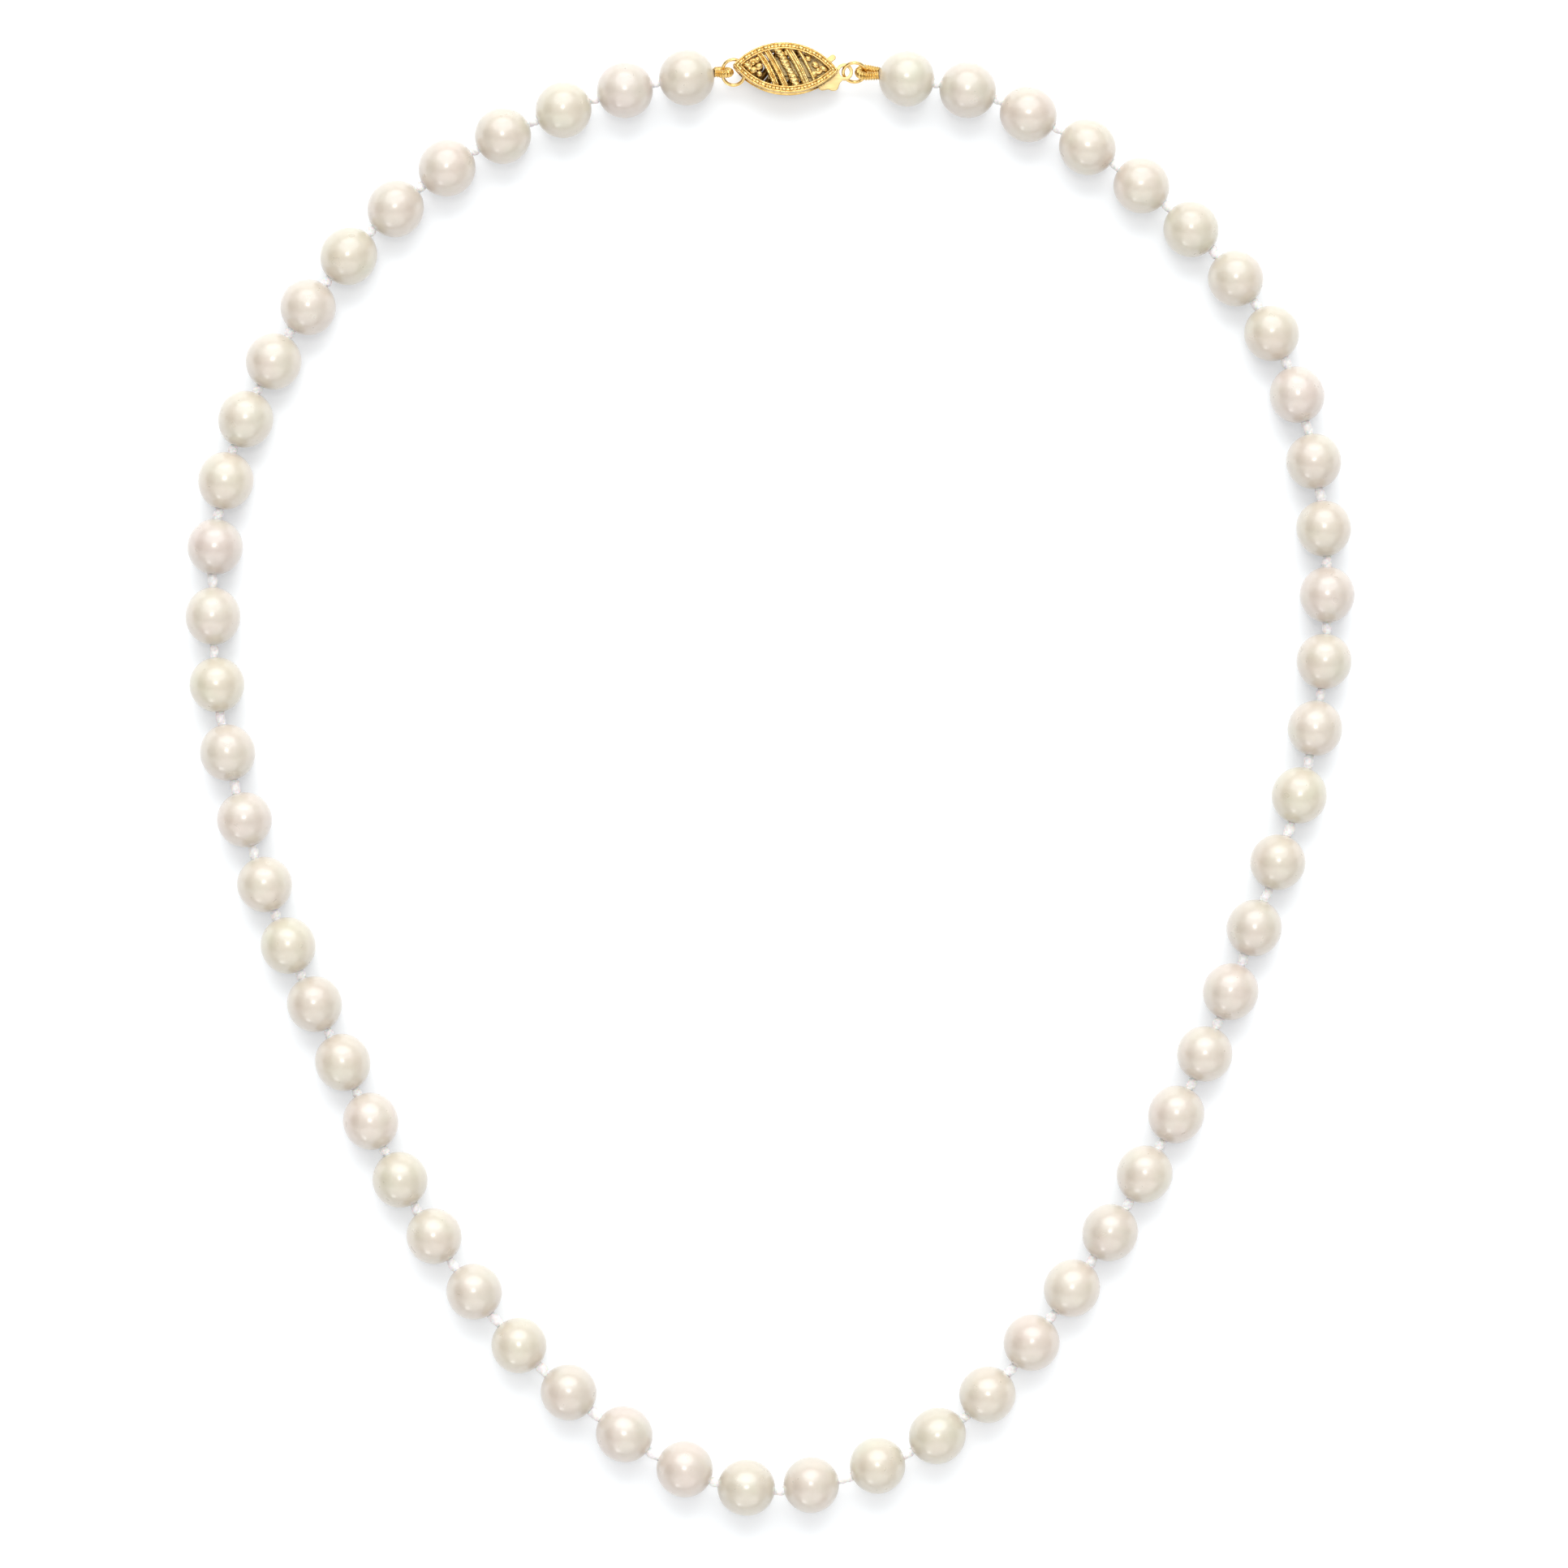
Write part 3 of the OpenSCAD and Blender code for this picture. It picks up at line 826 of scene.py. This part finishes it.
# ---- Stage: pale floor, soft studio light, camera straight above ----

def stage_floor():
    mesh = bpy.data.meshes.new("stage_floor")
    s = 4.0
    mesh.from_pydata([(-s, -s, 0), (s, -s, 0), (s, s, 0), (-s, s, 0)], [], [(0, 1, 2, 3)])
    obj = bpy.data.objects.new("stage_floor", mesh)
    bpy.context.scene.collection.objects.link(obj)
    mat, tree, bsdf = new_material("white_sweep")
    where = place(tree)
    cloud = noisy(tree, where, 8)
    tree.links.new(ramp(tree, cloud, [(0.3, (0.65, 0.655, 0.66)), (0.7, (0.67, 0.67, 0.67))]),
                   bsdf.inputs["Base Color"])
    bsdf.inputs["Emission Color"].default_value = (0.91, 0.95, 1.0, 1)
    bsdf.inputs["Emission Strength"].default_value = 0.3
    bsdf.inputs["Roughness"].default_value = 0.75
    bsdf.inputs["Specular IOR Level"].default_value = 0.1
    mesh.materials.append(mat)


stage_floor()

FOCUS = Vector((0.0016, -0.0005, 0.0033))


def lamp(name, zenith, azimuth, distance, size, radiance, colour=(1, 1, 1)):
    """An area light zenith degrees from straight up, azimuth degrees east of north."""
    data = bpy.data.lights.new(name, "AREA")
    data.shape, data.size, data.size_y = "ELLIPSE", *size
    data.energy = radiance * math.pi * size[0] * size[1]
    data.color = colour
    obj = bpy.data.objects.new(name, data)
    z, a = math.radians(zenith), math.radians(azimuth)
    way = Vector((math.sin(z) * math.sin(a), math.sin(z) * math.cos(a), math.cos(z)))
    obj.location = FOCUS + way * distance
    obj.rotation_euler = way.to_track_quat("Z", "Y").to_euler()
    obj.visible_camera = False
    bpy.context.scene.collection.objects.link(obj)


for name, w, h, radiance in (("softbox_outer", 2.3, 1.8, 0.8), ("softbox_middle", 1.9, 1.5, 1.6),
                             ("softbox_inner", 1.4, 1.1, 3.6)):
    lamp(name, 44, 0, 1.6, (w, h), radiance, (0.95, 0.99, 1.0))
lamp("fill", 52, 180, 1.6, (2.6, 2.0), 0.55)
lamp("near_lens", 8, -3, 1.4, (0.32, 0.26), 9)
lamp("low_glint", 73, 203, 1.6, (0.4, 0.4), 1.7)

world = bpy.data.worlds.new("studio")
world.use_nodes = True
tree = world.node_tree
coords = node(tree, "TexCoord")
split = node(tree, "SeparateXYZ")
tree.links.new(coords.outputs["Generated"], split.inputs["Vector"])
shade = ramp(tree, split.outputs["Z"], [(0.0, (0.85, 0.85, 0.85)), (0.2, (0.7, 0.7, 0.7)),
                                        (0.5, (0.9, 0.9, 0.9)), (0.9, (0.7, 0.7, 0.7))])


def flag(shade, zenith, azimuth, inner, outer, keep):
    """A dark card in the studio: light from its direction drops to keep."""
    z, a = math.radians(zenith), math.radians(azimuth)
    near = node(tree, "VectorMath", operation="DOT_PRODUCT")
    near.inputs[1].default_value = (math.sin(z) * math.sin(a), math.sin(z) * math.cos(a), math.cos(z))
    tree.links.new(coords.outputs["Generated"], near.inputs[0])
    edge = node(tree, "MapRange", interpolation_type="SMOOTHSTEP")
    for key, value in (("From Min", math.cos(math.radians(outer))),
                       ("From Max", math.cos(math.radians(inner))), ("To Min", 1), ("To Max", keep)):
        edge.inputs[key].default_value = value
    tree.links.new(near.outputs["Value"], edge.inputs["Value"])
    return multiply(tree, shade, edge.outputs["Result"])


shade = flag(shade, 62, -86, 14, 28, 0.0)
shade = flag(shade, 62, 86, 10, 24, 0.45)
tree.links.new(shade, tree.nodes["Background"].inputs["Color"])
tree.nodes["Background"].inputs["Strength"].default_value = 0.85
scene = bpy.context.scene
scene.world = world
scene.view_settings.view_transform = "Standard"

camera = bpy.data.cameras.new("camera")
HEIGHT, VIEW_W = 0.66, 0.1806
camera.sensor_width = 36
camera.lens = 36 * HEIGHT / VIEW_W
camera.clip_start, camera.clip_end = 0.01, 20
holder = bpy.data.objects.new("camera", camera)
holder.location = (FOCUS.x, FOCUS.y, FOCUS.z + HEIGHT)
scene.collection.objects.link(holder)
scene.camera = holder
